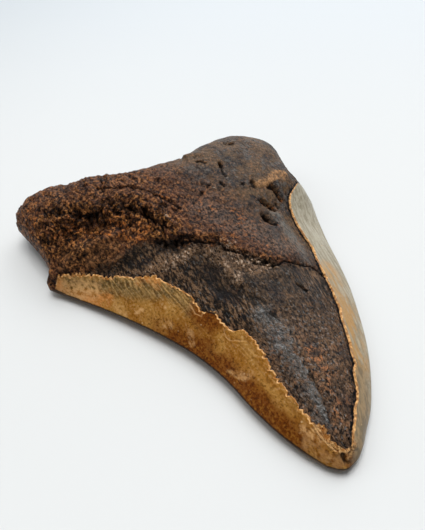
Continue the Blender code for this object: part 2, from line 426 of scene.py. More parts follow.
@dataclass(frozen=True)
class EnamelFinish:
    """Amber enamel: olive streaks by the break, deep brown by the cutting edge, pale flecks, a painted highlight
    at the left end.
    """

    amber: Colour = srgb(142, 92, 26)
    honey: Colour = srgb(164, 117, 52)
    deep: Colour = srgb(100, 48, 0)
    char: Colour = srgb(58, 26, 0)
    olive: Colour = srgb(76, 66, 40)
    orange: Colour = srgb(206, 132, 66)
    stripe: Colour = srgb(178, 142, 88)
    silk: Colour = srgb(172, 164, 144)
    silk_dark: Colour = srgb(142, 132, 110)
    tan: Colour = srgb(174, 134, 82)
    bark: Colour = srgb(152, 122, 82)
    bark_dark: Colour = srgb(108, 86, 56)
    fleck: Colour = srgb(204, 172, 126)
    smudge_and_highlight: Colour = srgb(212, 166, 110)
    fracture: Colour = srgb(226, 176, 116)
    fracture_dark: Colour = srgb(168, 108, 50)
    edge: Colour = srgb(120, 94, 64)
    pit: Colour = srgb(24, 15, 8)
    varnish: float = 0.22

    def _near(self, graph: Graph, mottle: Value, fine: Value) -> Socket:
        """Paints the near band: amber, olive, deep brown, orange and a painted whitish highlight at its left
        end.

        Args:
            graph: The material's graph.
            mottle: Noise of spots about a millimetre across.
            fine: Finer noise.

        Returns:
            The band's colour.
        """
        off_break = graph.zone(Zone.BREAK)
        olive, deep = graph.zone(Zone.SLATE_AND_SHEEN), graph.zone(Zone.DARK)
        broad = graph.clouds(graph.grain(2.5), 4.0, 4.0, 0.6)
        patches = graph.clouds(graph.grain(1.5, 20.0), 3.0, 5.0, 0.7)
        stripes = graph.clouds(graph.grain(15.0, -10.0), 1.3, 2.0, 0.55)
        bands = graph.bands(graph.grain(7.0, -12.0), 0.95, 6.0)
        streaked = off_break.between(8.0, 0.5) * olive.between(0.0, 0.4, 0.18, 1.0)
        stained = (deep + (patches - 0.5) * 1.5 + (mottle - 0.5) * 0.7).between(0.1, 1.0)
        charred = (deep + (patches - 0.5) * 2.2 + (mottle - 0.5) * 1.2).between(1.02, 1.4)
        specked = fine.between(0.48, 0.38) * mottle.between(0.58, 0.44) * deep.between(0.0, 0.5, 0.18, 0.5)
        return graph.layered(
            graph.blend(broad.between(0.4, 0.6), self.amber, self.honey),
            (olive * broad.between(0.62, 0.38, 0.7, 1.0), self.olive),
            (graph.zone(Zone.TAN) * mottle.between(0.36, 0.56, 0.35, 1.0), self.orange),
            (stripes.between(0.54, 0.62) * streaked * 0.5, self.stripe),
            (stripes.between(0.5, 0.4) * streaked * 0.8, self.olive),
            (bands.between(0.5, 0.1) * streaked * broad.between(0.4, 0.55) * 0.5, self.olive),
            (bands.between(0.6, 0.96) * streaked * mottle.between(0.4, 0.56) * 0.8, self.stripe),
            (stained * deep.between(0.0, 0.4) * 0.95, self.deep),
            (charred * 0.8, self.char),
            (fine.between(0.5, 0.34) * deep.between(0.0, 1.0, 0.4, 0.6), self.char),
            (fine.between(0.5, 0.72) * deep.between(0.0, 0.8, 0.36, 0.06), self.fleck),
            (fine.between(0.5, 0.62) * mottle.between(0.4, 0.54) * deep * 0.7, self.amber),
            (specked, self.char),
            (stripes.between(0.47, 0.38) * mottle.between(0.4, 0.6) * (1 - deep) * 0.35, self.deep),
            # Pale smudges, and at the band's left end a painted whitish highlight.
            (mottle.between(0.38, 0.6) * graph.zone(Zone.PALE) * 0.85, self.smudge_and_highlight),
        )

    def _far(self, graph: Graph, mottle: Value, fine: Value) -> Socket:
        """Paints the far band: grey silk by the root, tan streaks below, grey bark by the tip.

        Args:
            graph: The material's graph.
            mottle: Noise of spots about a millimetre across.
            fine: Finer noise.

        Returns:
            The band's colour.
        """
        silk = graph.clouds(graph.grain(12.0, 5.0), 1.1, 4.0, 0.6)
        broad = graph.clouds(graph.grain(6.0, 8.0), 1.6, 3.0)
        barked = graph.blend(broad.between(0.42, 0.56), self.bark_dark, self.bark)
        return graph.layered(
            graph.blend(silk.between(0.38, 0.6), self.silk_dark, self.silk),
            (graph.zone(Zone.TAN) * broad.between(0.4, 0.58, 0.2, 1.0), self.tan),
            (graph.zone(Zone.DARK) * silk.between(0.36, 0.58, 0.7, 1.0), barked),
            (fine.between(0.5, 0.34) * 0.3, self.bark_dark),
            (mottle.between(0.6, 0.72) * 0.3, self.fleck),
        )

    def coat(self, graph: Graph) -> Coat:
        """Builds the enamel's channels.

        Args:
            graph: The material's graph.

        Returns:
            The enamel's coat.
        """
        off_break, far, chip = graph.zone(Zone.BREAK), graph.zone(Zone.FAR), graph.zone(Zone.CHIP)
        fibres = graph.clouds(graph.grain(7.0, -4.0), 0.6, 4.0, 0.65)
        mottle = graph.clouds(graph.grain(1.8), 1.5, 6.0, 0.72)
        fine = graph.clouds(graph.grain(1.3, -6.0), 0.62, 3.0, 0.65)
        dots = graph.cells(graph.place, 2.4).between(0.15, 0.07)
        specks = dots * graph.clouds(graph.place, 3.0, 2.0).between(0.48, 0.62)
        teeth = graph.clouds(graph.grain(3.0), 0.6, 2.0, 0.5)
        near, far_band = self._near(graph, mottle, fine), self._far(graph, mottle, fine)
        fracture = graph.blend(teeth.between(0.42, 0.6), self.fracture_dark, self.fracture)
        rim = (off_break + far * 0.06).between(0.3, 0.1) * teeth.between(0.3, 0.52, 0.5, 1.0)
        colour = graph.layered(
            graph.blend(far, near, far_band),
            (specks * 0.6, self.fleck),
            (chip * mottle.between(0.42, 0.54, 0.3, 1.0), fracture),
            (chip * fine.between(0.46, 0.38), self.deep),
            (rim, fracture),
            (graph.zone(Zone.LINE) * teeth.between(0.3, 0.5, 0.6, 1.0), self.fracture),
            (graph.zone(Zone.RIM).between(0.34, 0.12) * far * 0.6, self.edge),
            (graph.zone(Zone.RIM).between(0.5, 0.25) * (1 - far) * 0.92, self.pit),
            (graph.zone(Zone.PORE), self.pit),
        )
        roughness = mottle.between(0.3, 0.7, 0.26, 0.44)
        relief = fibres * 0.08 + mottle * 0.1 + chip * (mottle * 1.2 + fine * 0.6)
        return Coat(colour, roughness, relief, self.varnish)


@dataclass(frozen=True)
class DentineFinish:
    """Bared dentine: near-black fibres, a blue-grey sheen painted into the colour, and specks of rust."""

    black: Colour = srgb(15, 12, 9)
    brown: Colour = srgb(62, 48, 35)
    umber: Colour = srgb(108, 83, 64)
    tan: Colour = srgb(146, 112, 82)
    slate_and_sheen: Colour = srgb(166, 166, 164)
    dim_sheen: Colour = srgb(104, 103, 100)
    ink: Colour = srgb(24, 27, 34)
    rust: Colour = srgb(184, 122, 78)
    pale: Colour = srgb(204, 180, 156)
    varnish: float = 0.16

    def coat(self, graph: Graph) -> Coat:
        """Builds the dentine's channels.

        Args:
            graph: The material's graph.

        Returns:
            The dentine's coat.
        """
        fibres = graph.clouds(graph.grain(10.0, 3.0), 0.66, 2.0, 0.55, 0.15)
        tangle = graph.clouds(graph.grain(1.7, 6.0), 0.6, 3.0, 0.72, 0.5)
        glint = graph.clouds(graph.grain(2.0, -8.0), 0.6, 2.0, 0.55)
        broad = graph.clouds(graph.grain(1.5), 6.0, 3.0, 0.6)
        patches = graph.clouds(graph.grain(1.4, 30.0), 3.0, 4.0, 0.62)
        reds = graph.clouds(graph.grain(1.4), 1.5, 5.0, 0.75)
        wrinkles = graph.clouds(graph.grain(1.8, -30.0), 1.2, 3.0, 0.6, 2.2)
        along = graph.part(graph.place, 1)
        towards_tip = along.between(-12.0, -38.0)
        slate_and_sheen, rusty = graph.zone(Zone.SLATE_AND_SHEEN), (graph.zone(Zone.RUST) + towards_tip * 0.3 + 0.08).least(1.0)
        crumbs = graph.cells(graph.grain(1.5, 8.0), 0.8)
        fibrous = graph.zone(Zone.BREAK).between(-13.0, -5.0, 0.3, 1.0) * along.between(-34.0, -16.0)
        lifted = graph.blend(towards_tip * 0.9, self.brown, self.umber)
        tanned = patches.between(0.4, 0.62, 0.05, 0.4) + towards_tip * patches.between(0.42, 0.58, 0.15, 0.5)
        speckled = patches.between(0.4, 0.54) * crumbs.between(0.5, 0.34) * tangle.between(0.44, 0.56)
        colour = graph.layered(
            graph.blend(tangle.between(0.34, 0.6), self.black, lifted),
            (tangle.between(0.46, 0.66) * tanned, self.tan),
            (fibres.between(0.5, 0.6) * fibrous * 0.62, self.tan),
            (fibres.between(0.48, 0.4) * fibrous * 0.8, self.black),
            # Painted glints, more of them towards the tip.
            (glint.between(0.56, 0.7) * (towards_tip * 0.24 + 0.2), self.slate_and_sheen),
            (broad.between(0.5, 0.64) * 0.5, self.ink),
            # Painted sheen over the sheen zone, dim then bright, rippled by the wrinkles.
            (slate_and_sheen * wrinkles.between(0.34, 0.52, 0.35, 0.95), self.dim_sheen),
            (wrinkles.between(0.5, 0.66) * slate_and_sheen * 0.9, self.slate_and_sheen),
            ((reds + rusty * 0.06).between(0.53, 0.68) * rusty * tangle.between(0.4, 0.56), self.rust),
            (graph.zone(Zone.PALE) * tangle.between(0.4, 0.56, 0.1, 0.9), self.tan),
            (speckled * graph.zone(Zone.PALE), self.pale),
            (graph.zone(Zone.DARK) * tangle.between(0.4, 0.6, 0.92, 0.45), self.black),
            (tangle.between(0.43, 0.34) * 0.75, self.black),
            (crumbs.between(0.62, 0.76) * 0.3, self.black),
        )
        roughness = tangle.between(0.3, 0.7, 0.36, 0.56)
        relief = fibres * fibrous * 0.7 + tangle * 1.1 + wrinkles * slate_and_sheen * 1.1
        return Coat(colour, roughness, relief, self.varnish)


@dataclass(frozen=True)
class RootFinish:
    """Porous root: warm dark brown, orange crumbs in the hollow, black pores."""

    soot: Colour = srgb(20, 12, 8)
    hole: Colour = srgb(9, 5, 3)
    brown: Colour = srgb(96, 58, 37)
    umber: Colour = srgb(154, 104, 68)
    bone: Colour = srgb(224, 152, 84)
    dust: Colour = srgb(97, 80, 58)
    dust_dark: Colour = srgb(52, 40, 27)
    grey: Colour = srgb(112, 110, 104)
    ink: Colour = srgb(30, 31, 34)
    crumb: Colour = srgb(206, 120, 54)
    tan: Colour = srgb(190, 140, 90)
    pale: Colour = srgb(190, 172, 152)
    varnish: float = 0.14

    def coat(self, graph: Graph) -> Coat:
        """Builds the root's channels.

        Args:
            graph: The material's graph.

        Returns:
            The root's coat.
        """
        grain = graph.clouds(graph.grain(1.5, 4.0), 1.3, 5.0, 0.72, 0.2)
        fine = graph.clouds(graph.grain(1.7, -8.0), 0.85, 3.0, 0.65)
        broad = graph.clouds(graph.grain(1.2), 8.0, 3.0, 0.6)
        patches = graph.clouds(graph.grain(1.3, 30.0), 4.0, 5.0, 0.64)
        grit = graph.clouds(graph.grain(1.6, 8.0), 0.6, 2.0, 0.6)
        reds = graph.clouds(graph.grain(1.3), 1.8, 6.0, 0.74)
        smooth, porous = graph.zone(Zone.SMOOTH), graph.zone(Zone.POROUS)
        crumbs = graph.cells(graph.grain(1.3, 12.0), 0.9)
        granules = crumbs.between(0.5, 0.34) * fine.between(0.4, 0.52)
        crumbled = porous * granules.most(fine.between(0.5, 0.58))
        hole = (porous * 0.06 + 0.36 - grain + (fine - 0.5) * 0.25).between(-0.01, 0.035)
        lit = fine.between(0.5, 0.62) * patches.between(0.36, 0.6, 0.3, 0.9)
        dusty = graph.blend(patches.between(0.38, 0.56), self.dust_dark, self.dust)
        cooled = (smooth * 0.75 + 0.2) * broad.between(0.5, 0.4) * grain.between(0.36, 0.6, 1.0, 0.5)
        greyed = smooth * patches.between(0.5, 0.4) * grain.between(0.4, 0.6)
        rusty = (graph.zone(Zone.RUST) + (1 - smooth) * 0.2).least(1.0)
        crumbly = (reds + rusty * 0.06).between(0.52, 0.6) * granules.most(fine.between(0.52, 0.6))
        colour = graph.layered(
            graph.blend(grain.between(0.38, 0.54), self.soot, self.brown),
            (lit, self.umber),
            (crumbled * patches.between(0.38, 0.54, 0.25, 1.0), self.bone),
            (smooth * grain.between(0.36, 0.6, 0.45, 0.85), dusty),
            (graph.zone(Zone.SLATE_AND_SHEEN) * grain.between(0.36, 0.58, 0.3, 1.0), self.grey),
            (cooled, self.ink),
            (greyed * 0.6, self.grey),
            (crumbly * rusty, self.crumb),
            (graph.zone(Zone.TAN) * grain.between(0.38, 0.56, 0.3, 1.0) * 0.85, self.tan),
            (graph.zone(Zone.PALE) * patches.between(0.44, 0.56) * fine.between(0.48, 0.58), self.pale),
            (graph.zone(Zone.DARK) * fine.between(0.4, 0.6, 0.92, 0.4), self.soot),
            (grit.between(0.47, 0.38) * smooth.between(0.0, 1.0, 0.75, 0.45), self.soot),
            (crumbs.between(0.6, 0.74) * smooth.between(0.0, 1.0, 0.6, 0.3), self.soot),
            (grit.between(0.56, 0.68) * smooth.between(0.0, 1.0, 0.55, 0.3), self.umber),
            (hole * porous.between(0.0, 0.4, 0.55, 1.0), self.hole),
            (broad.between(0.5, 0.38) * (1 - smooth) * fine.between(0.56, 0.44, 0.0, 0.3), self.soot),
        )
        roughness = grain.between(0.3, 0.7, 0.42, 0.62)
        relief = (grain * 1.3 + fine * 0.9 + grit * 0.45) * smooth.between(0.0, 1.0, 1.0, 0.45)
        relief = relief - hole * (porous * 0.7 + 0.15) - crumbs * (porous * 0.5 + 0.15)
        return Coat(colour, roughness, relief, self.varnish)


@dataclass(frozen=True)
class Skin:
    """The one material of the tooth, which passes from finish to finish."""

    enamel: EnamelFinish = EnamelFinish()
    dentine: DentineFinish = DentineFinish()
    root: RootFinish = RootFinish()
    pore: Colour = srgb(9, 6, 5)
    # The colour of the painted shadow at the foot of the enamel's broken step.
    break_shadow: Colour = srgb(7, 9, 14)
    varnish_roughness: float = 0.22
    glint: float = 0.1

    def material(self) -> bpy.types.Material:
        """Builds the material.

        Returns:
            The material.
        """
        material = bpy.data.materials.new("fossil tooth skin")
        material.use_nodes = True
        tree = material.node_tree
        shader = tree.nodes["Principled BSDF"]
        graph = Graph(tree)
        enamel, dentine, root = (finish.coat(graph) for finish in (self.enamel, self.dentine, self.root))
        wander = (graph.clouds(graph.grain(1.0), 1.6, 4.0) - 0.5) * 4.0
        is_root = (graph.zone(Zone.ROOT) + wander).between(-1.2, 1.2)
        off_break, far = graph.zone(Zone.BREAK), graph.zone(Zone.FAR)
        is_enamel = off_break.between(-0.2, -0.13)
        # Painted shadow: a blue-black band on the bared side at the foot of the enamel's broken step, wider on
        # the far side.
        reach = graph.clouds(graph.grain(2.0), 1.2, 3.0).between(0.38, 0.62, 0.3, 0.95) * (far * 0.75 + 0.25)
        below_break = (off_break + reach).between(-0.1, 0.12) * graph.zone(Zone.UNDER).between(0.5, 0.4)
        colour = graph.blend(is_root, dentine.colour, root.colour)
        colour = graph.blend(graph.zone(Zone.PORE), colour, self.pore)
        colour = graph.blend(below_break, colour, self.break_shadow)
        colour = graph.blend(is_enamel, colour, enamel.colour)

        def passed(channel: str) -> Value:
            """Passes one channel from dentine to root to enamel."""
            low, high, top = (getattr(coat, channel) for coat in (dentine, root, enamel))
            return is_enamel * top + (1 - is_enamel) * (is_root * high + (1 - is_root) * low)

        bump = graph.make("ShaderNodeBump", {}, {"Strength": 1.0, "Distance": MM, "Height": passed("relief")})
        sockets = {
            "Base Color": colour,
            "Roughness": passed("roughness").socket,
            "Coat Weight": passed("varnish").socket,
            "Normal": bump.outputs[0],
        }
        for name, socket in sockets.items():
            tree.links.new(socket, shader.inputs[name])
        shader.inputs["Coat Roughness"].default_value = self.varnish_roughness
        shader.inputs["Specular IOR Level"].default_value = self.glint
        return material


@dataclass(frozen=True)
class BreakLine:
    """One jagged line along which the enamel broke away, with the end where it meets the rim."""

    points: Path
    end: Path
    teeth: float
    pitch: float
    seed: int

    def jagged(self) -> Path:
        """Draws the line with its small teeth.

        Returns:
            The line's corners as (x, y), from the tip to the rim.
        """
        chance = random.Random(self.seed)
        plain = [(x, y) for y, x in self.points]
        made = [plain[0]]
        for (ax, ay), (bx, by) in zip(plain, plain[1:]):
            length = math.dist((ax, ay), (bx, by))
            steps = max(1, round(length / self.pitch))
            for k in range(steps):
                t = (k + chance.uniform(0.35, 0.65)) / steps
                bite = self.teeth * chance.uniform(0.1, 1.0) ** 1.7
                x, y = ax + (bx - ax) * t, ay + (by - ay) * t
                made.append((x + bite * (by - ay) / length, y - bite * (bx - ax) / length))
                t = (k + chance.uniform(0.85, 1.0)) / steps
                made.append((ax + (bx - ax) * t, ay + (by - ay) * t))
        return tuple(made) + self.end


# Cracks and folds, as (x, y) in millimetres from the tooth's own axis.
CURVED_CRACK: Path = (
    (-24.2, 40.8), (-18.3, 38.6), (-15.2, 37.6), (-12.0, 34.6), (-9.6, 31.8), (-7.7, 29.2), (-5.9, 26.3),
    (-4.4, 22.7), (-3.7, 21.4))
LEDGE_CRACK: Path = (
    (-14.9, 15.1), (-12.8, 12.2), (-10.1, 11.7), (-8.0, 10.3), (-5.8, 9.3), (-2.8, 7.4), (0.5, 5.2), (2.7, 2.0),
    (5.0, -1.3), (6.5, -2.8), (8.9, -4.1), (9.6, -5.1), (11.4, -5.9), (11.9, -7.4), (12.5, -7.9))
THIN_CRACK: Path = (
    (12.4, -7.9), (14.5, -8.0), (16.5, -7.5), (18.5, -8.1), (20.0, -8.6), (22.9, -9.5), (26.0, -10.2))
RIDGE: Path = (
    (-19.7, 8.2), (-16.5, 7.7), (-12.6, 6.6), (-9.1, 6.9), (-4.0, 6.6), (-1.5, 3.0), (0.0, -1.2), (0.2, -6.6),
    (0.9, -9.2))
FOLD: Path = (
    (1.9, -31.0), (2.9, -34.0), (3.4, -36.8), (3.5, -39.5), (3.5, -41.8), (3.1, -44.7), (2.9, -47.8),
    (2.5, -50.7))

# Each mark by what it paints: width, depth (below zero raises), strength, raggedness, softness, then its path.
MARKS: dict[Zone | None, tuple] = {
    Zone.PORE: (
        (0.42, 0.5, 0.95, 0.25, 0.5, *CURVED_CRACK),
        (0.55, 0.7, 1.0, 0.2, 0.6, (-9.5, 24.9), (-8.4, 25.9), (-7.7, 25.7), (-7.6, 24.1)),
        (1.5, 0.5, 0.72, 1.6, 0.6, (-33.4, 36.0), (-31.8, 33.2), (-29.1, 31.6), (-27.3, 32.4)),
        (1.3, 0.5, 0.72, 1.6, 0.6, (-23.7, 34.6), (-21.0, 33.4), (-19.6, 31.4)),
        (1.2, 0.5, 0.72, 1.6, 0.6, (-17.0, 29.0), (-15.6, 26.4), (-13.4, 24.6)),
        (1.0, 0.4, 0.6, 1.4, 0.6, (-12.8, 23.6), (-12.0, 20.6), (-11.4, 18.4)),
        (0.6, 0.6, 1.0, 0.4, 0.5, (25.0, 49.6), (25.4, 49.0)),
        (0.6, 0.6, 1.0, 0.4, 0.5, (27.3, 48.6), (28.0, 47.4)), (0.6, 0.5, 0.9, 0.3, 0.5, (26.5, 46.2)),
        (0.5, 0.55, 0.9, 0.25, 0.6, (17.3, 36.9), (16.8, 35.0), (15.9, 31.7), (15.8, 29.8)),
        (0.75, 0.6, 1.0, 0.2, 0.6, (17.2, 36.6), (16.9, 35.2)),
        (0.5, 0.5, 1.0, 0.2, 0.6, (13.1, 27.9), (13.3, 25.7)),
        (0.9, 0.6, 0.95, 0.5, 0.6, (10.9, 40.2), (11.6, 39.6)),
        (0.6, 0.5, 0.9, 0.4, 0.6, (11.9, 38.8), (12.6, 38.6)),
        (0.7, 0.5, 0.8, 0.4, 0.6, (5.3, 25.6), (4.6, 24.6)),
        (0.6, 0.5, 0.8, 0.4, 0.6, (8.1, 27.4), (9.3, 27.9)),
        (0.95, 0.9, 0.9, 0.4, 0.6, (23.5, 25.2), (23.1, 23.2)), (0.9, 0.6, 0.7, 0.4, 0.6, (19.9, 25.0)),
        (0.8, 0.8, 1.0, 0.5, 0.4, (29.4, 23.5), (30.4, 22.8)),
        (0.8, 0.8, 1.0, 0.5, 0.4, (30.9, 22.0), (31.4, 21.0)),
        (0.75, 0.7, 1.0, 0.5, 0.4, (31.0, 20.0), (31.5, 18.6)),
        (0.85, 0.8, 1.0, 0.5, 0.4, (22.9, 17.6), (23.9, 16.9)),
        (0.9, 0.9, 1.0, 0.5, 0.4, (25.3, 16.3), (26.3, 15.0)),
        (0.5, 0.5, 0.9, 0.3, 0.4, (24.2, 15.4), (24.6, 14.8)),
        (0.6, 0.6, 1.0, 0.4, 0.5, (28.1, 17.4), (28.4, 15.6)),
        (0.95, 0.9, 1.0, 0.5, 0.4, (20.6, 12.1), (21.6, 11.1)),
        (0.95, 0.9, 1.0, 0.5, 0.4, (21.8, 10.2), (22.6, 8.6)), (0.48, 0.5, 0.9, 0.8, 0.5, *LEDGE_CRACK),
        (0.6, 0.5, 0.9, 0.7, 0.5, (-9.6, 11.6), (-7.4, 11.8), (-5.0, 10.2)),
        (0.5, 0.4, 0.9, 0.8, 0.5, (7.6, -5.2), (9.6, -6.8), (12.2, -8.8)),
        (1.4, 0.4, 0.6, 1.2, 0.8, (-13.2, 12.4), (-12.1, 10.5), (-10.3, 10.3)),
        (0.32, 0.4, 1.0, 0.2, 0.5, *THIN_CRACK),
        (0.5, 0.5, 0.9, 0.3, 0.6, (25.0, -9.9), (26.2, -11.2), (27.5, -12.8)),
        (0.55, 0.6, 1.0, 0.15, 0.5, (15.9, -15.6), (16.6, -16.7), (17.5, -18.3)),
        (0.9, 0.6, 0.85, 0.5, 0.7, (0.8, -60.0), (1.1, -61.0)),
        (0.5, 0.4, 0.8, 0.4, 0.7, (2.6, -59.9), (3.6, -59.6)),
    ),
    Zone.DARK: (
        (2.6, 0.4, 0.6, 2.4, 0.9, (-38.7, 40.9), (-33.2, 36.4), (-31.3, 32.5), (-26.5, 32.8), (-19.2, 32.1),
         (-16.7, 27.9)),
        (2.0, 0.25, 0.9, 0.8, 0.6, (-24.7, 14.4), (-22.0, 14.6), (-20.0, 14.8)),
        (1.3, 0.2, 0.9, 0.8, 0.6, (-32.8, 17.2), (-29.2, 14.8), (-26.3, 13.7), (-23.9, 13.3)),
        (1.3, 1.1, 0.6, 0.4, 0.8, (-33.4, 46.5), (-31.4, 54.0)),
        (1.0, 0.6, 0.4, 0.4, 0.8, (-27.4, 44.5), (-26.2, 50.0)),
        (1.1, 0.9, 0.5, 0.4, 0.8, (-21.6, 42.0), (-19.6, 48.5)),
        (1.2, 0.7, 0.5, 0.4, 0.8, (8.6, 50.5), (8.3, 46.6), (7.7, 43.4)),
        (2.6, 0.0, 0.45, 1.6, 0.9, (26.3, 42.3), (24.8, 36.6), (23.7, 30.2)),
        (3.4, 0.0, 0.4, 1.8, 0.9, (19.4, 44.9), (20.1, 38.6)), (2.4, 0.3, 0.5, 0.6, 0.6, (26.5, 48.2)),
        (2.1, 0.7, 0.8, 0.5, 0.6, (20.8, 11.6), (22.2, 10.0)),
        (3.0, 0.0, 0.55, 1.6, 0.9, (-8.7, 16.7), (-8.1, 13.6), (-6.4, 11.4)),
        (2.2, 0.1, 0.45, 1.6, 0.9, *LEDGE_CRACK[:8]),
        (4.2, 0.3, 0.8, 1.2, 0.9, (-7.3, 1.3), (-5.2, -2.3), (-3.6, -8.0), (-1.9, -11.9)),
        (0.35, 0.2, 0.9, 0.3, 0.6, (17.2, -18.8), (16.6, -22.5), (16.1, -25.2)),
        (0.8, 0.35, 0.9, 0.3, 0.6, (3.6, -21.7), (4.1, -23.0)),
        (2.0, 0.0, 0.5, 0.8, 0.9, (-1.6, -33.0), (-1.8, -38.0), (-1.4, -43.0), (-0.7, -48.0)),
        (0.8, 0.15, 0.5, 0.4, 0.9, (3.9, -40.0), (3.8, -44.5), (3.3, -49.0)),
        (1.5, 0.0, 1.0, 0.8, 0.8, (-6.8, -47.6), (-5.4, -51.4)),
        (2.0, 0.0, 0.75, 1.0, 0.8, (-2.8, -57.1), (-0.2, -60.6), (1.7, -62.0)),
        (5.0, 0.0, 0.8, 1.0, 0.8, (17.0, -44.0), (13.1, -50.6), (8.1, -56.7), (4.6, -60.1)),
    ),
    Zone.RUST: (
        (0.8, 0.0, 1.0, 0.5, 0.6, (-7.6, 30.5), (-6.1, 28.2)),
        (6.5, 0.0, 0.75, 2.0, 0.8, (-38.3, 33.2), (-33.2, 31.2), (-26.5, 28.1), (-21.1, 24.3), (-17.4, 19.3)),
        (3.4, 0.0, 1.0, 2.0, 0.8, (-37.0, 33.4), (-31.2, 29.5), (-28.4, 26.3), (-24.2, 24.4), (-20.1, 24.3)),
        (6.0, 0.0, 0.35, 2.0, 0.9, (-47.0, 40.0), (-44.0, 48.0), (-38.0, 54.0)),
        (1.7, 0.5, 0.7, 0.5, 0.6, (29.6, 23.4), (31.2, 21.7)),
        (1.6, 0.5, 0.7, 0.5, 0.6, (31.0, 20.0), (31.6, 18.3)),
        (1.9, 0.5, 0.7, 0.5, 0.6, (23.4, 17.2), (26.0, 15.4)),
        (0.9, 0.0, 0.9, 0.5, 0.6, (22.9, 8.6), (22.9, 7.4)),
        (4.0, 0.0, 0.3, 2.0, 0.9, (3.4, 22.8), (4.9, 15.3), (6.6, 7.0)),
        (4.0, 0.0, 0.4, 2.0, 0.9, (12.4, 14.3), (12.0, 4.5), (13.2, 0.6)),
        (1.1, -0.1, 1.0, 0.6, 0.5, (-9.4, 9.6), (-8.0, 9.2), (-6.6, 8.4)),
        (1.2, -0.1, 1.0, 0.6, 0.5, (-4.6, 7.3), (-3.0, 6.4), (-0.9, 4.8)),
        (3.0, 0.0, 0.85, 1.2, 0.9, (7.2, -35.5), (8.5, -39.1), (9.0, -42.1), (6.4, -44.4)),
        (2.4, 0.0, 0.6, 1.0, 0.9, (4.7, -44.9), (5.9, -48.5), (5.1, -52.3)),
    ),
    Zone.TAN: (
        (1.5, -0.35, 0.3, 0.8, 0.9, (-35.6, 19.7), (-31.7, 18.0), (-27.7, 15.9), (-25.4, 15.9)),
        (5.0, 0.0, 0.22, 1.6, 0.9, (-40.0, 24.5), (-34.0, 22.0), (-27.5, 19.5)),
        (1.3, 0.0, 0.4, 0.5, 0.6, (12.1, 37.4)),
        (1.5, -0.1, 0.85, 1.1, 0.7, (25.0, 24.1), (27.7, 24.8), (31.4, 25.8)),
        (2.2, -0.1, 0.9, 1.0, 0.6, (30.4, 26.0), (33.5, 27.3), (37.7, 28.8)),
        (2.4, 0.0, 1.0, 0.6, 0.8, (-45.2, 20.4), (-43.4, 18.4)),
        (2.8, 0.0, 0.85, 0.8, 0.9, (-44.0, 17.6), (-39.0, 13.8), (-33.0, 9.2)),
        (1.9, 0.0, 0.8, 0.6, 0.8, (-38.8, 14.6), (-36.1, 11.2), (-34.7, 9.6)),
        (1.8, 0.0, 0.9, 0.6, 0.8, (-23.3, 7.4), (-20.1, 5.5), (-19.1, 3.3)),
        (5.0, 0.0, 0.95, 1.0, 0.8, (31.0, -10.0), (28.5, -22.4), (23.4, -32.5), (18.9, -41.1)),
    ),
    Zone.PALE: (
        (0.9, -0.2, 1.0, 0.4, 0.6, (9.9, 26.3)), (1.0, 0.0, 1.0, 0.6, 0.6, (19.5, 5.5), (20.0, 4.7)),
        (0.5, -0.1, 1.0, 0.2, 0.6, (-39.4, 32.7)), (0.6, -0.1, 1.0, 0.2, 0.6, (-7.5, 17.0)),
        (0.6, -0.1, 1.0, 0.3, 0.6, (-9.1, 20.6), (-8.6, 20.2)), (0.5, -0.1, 1.0, 0.2, 0.6, (-13.0, 13.6)),
        (3.0, 0.0, 1.0, 1.4, 0.9, (1.6, 3.7), (4.0, 0.2), (6.9, -3.7), (10.9, -7.2)),
        (2.4, 0.0, 0.8, 1.0, 0.8, (3.0, -2.4), (5.4, -6.6), (8.2, -8.5)),
        (2.2, 0.0, 0.6, 1.0, 0.8, (0.3, -1.4), (0.9, -4.1), (1.4, -6.9)), (2.4, -0.45, 0.7, 1.0, 0.95, *RIDGE),
        (1.6, 0.0, 0.5, 0.6, 0.8, (-31.4, 6.5), (-30.3, 2.8)),
        # Painted highlight: the whitish sheen at the near band's left end.
        (3.4, 0.0, 1.0, 0.5, 0.9, (-43.4, 18.8), (-39.6, 16.4), (-35.6, 13.4)),
        (0.8, 0.0, 0.9, 0.5, 0.9, (-38.2, 15.0), (-35.0, 12.8)),
        (0.8, 0.0, 0.9, 0.4, 0.6, (-27.0, 0.8), (-25.4, -0.2)), (0.6, 0.0, 0.9, 0.4, 0.6, (-19.7, -3.7)),
        (1.1, 0.0, 0.7, 0.6, 0.6, (-21.7, -6.9), (-20.1, -8.8)),
        (0.9, 0.0, 0.6, 0.5, 0.6, (-16.6, -12.7), (-17.2, -16.6)),
        (1.0, 0.0, 0.6, 0.8, 0.6, (-12.2, -28.8), (-9.7, -32.8), (-8.3, -33.4)),
        (1.1, 0.0, 0.8, 0.7, 0.6, (-4.2, -50.4), (-2.8, -53.5), (-2.6, -54.8)),
        (0.8, 0.0, 0.7, 0.5, 0.6, (-2.0, -58.9), (-1.9, -59.7)),
        (2.6, 0.0, 0.42, 1.0, 0.9, (-4.6, -54.0), (-2.4, -58.6), (0.6, -61.2)),
    ),
    Zone.SLATE_AND_SHEEN: (
        (4.0, 0.0, 0.85, 1.0, 0.9, (25.2, 12.3), (26.2, 6.9), (25.3, -1.0), (24.5, -6.8)),
        (7.0, 0.0, 0.4, 2.0, 0.9, (2.0, 19.0), (8.0, 12.0), (14.0, 6.0), (19.0, -2.0)),
        # Painted sheen on the bared dentine; the rows above are grey patches on the root, the rows below olive
        # streaks on the near enamel.
        (4.4, 0.0, 0.6, 1.6, 0.95, (1.0, -20.5), (2.6, -25.8), (2.8, -31.5)),
        (2.2, 0.0, 0.4, 0.8, 0.8, (-42.2, 19.6), (-38.4, 17.6), (-34.3, 13.7)),
        (3.6, 0.0, 0.85, 0.8, 0.8, (-32.1, 12.6), (-28.2, 9.3), (-24.1, 5.1), (-19.9, 1.4)),
        (3.0, 0.0, 0.6, 0.8, 0.8, (-17.8, 1.1), (-15.3, -4.0), (-14.1, -8.0)),
    ),
